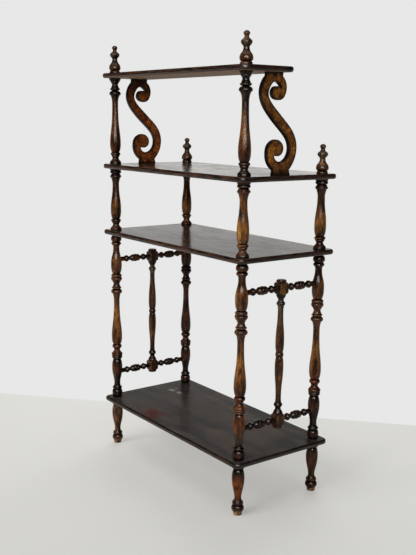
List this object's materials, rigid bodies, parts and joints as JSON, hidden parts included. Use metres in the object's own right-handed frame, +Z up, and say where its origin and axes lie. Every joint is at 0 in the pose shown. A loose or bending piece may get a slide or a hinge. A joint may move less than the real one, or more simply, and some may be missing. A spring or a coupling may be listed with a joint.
{
  "type": "etagere",
  "caption": "Open stepped display stand: dark wood shelves on turned posts with finials, sawn S-scroll brackets under a half-depth top shelf, spindle galleries at the ends.",
  "frame": {"origin": "on the floor under the centre of the shelves' footprint", "axes": "+Z up; +X along the length, to the right as seen from the open front; +Y towards the back, where the tall posts and the half-depth top shelf are"},
  "size_m": [0.69, 0.329, 1.25],
  "materials": {
    "turned_wood": "brown stain worn to golden brown on the swells, satin varnish",
    "shelf_wood": "very dark brown stain, satin varnish with faint scuffs",
    "bracket_wood": "golden brown stain, near black on the sawn edges, satin varnish",
    "gallery_wood": "brown stain, darker in the grooves, satin varnish",
    "dowel_wood": "bare hardwood"
  },
  "bodies": {
    "root": {"bottom_shelf": "shelf_wood", "foot_left_back": "turned_wood", "foot_left_front": "turned_wood", "foot_right_back": "turned_wood", "foot_right_front": "turned_wood", "gallery_spindle_left": "gallery_wood", "gallery_spindle_right": "gallery_wood", "low_finial_left": "turned_wood", "low_finial_right": "turned_wood", "lower_post_left_back": "turned_wood", "lower_post_left_front": "turned_wood", "lower_post_right_back": "turned_wood", "lower_post_right_front": "turned_wood", "lower_rail_left_back": "gallery_wood", "lower_rail_left_front": "gallery_wood", "lower_rail_right_back": "gallery_wood", "lower_rail_right_front": "gallery_wood", "middle_post_left_back": "turned_wood", "middle_post_left_front": "turned_wood", "middle_post_right_back": "turned_wood", "middle_post_right_front": "turned_wood", "middle_shelf": "shelf_wood", "scroll_bracket_left": "bracket_wood", "scroll_bracket_right": "bracket_wood", "scroll_dowels": "dowel_wood", "tall_finial_left": "turned_wood", "tall_finial_right": "turned_wood", "top_shelf": "shelf_wood", "upper_post_left": "turned_wood", "upper_post_right": "turned_wood", "upper_rail_left_back": "gallery_wood", "upper_rail_left_front": "gallery_wood", "upper_rail_right_back": "gallery_wood", "upper_rail_right_front": "gallery_wood", "upper_shelf": "shelf_wood"}
  },
  "joints": []
}
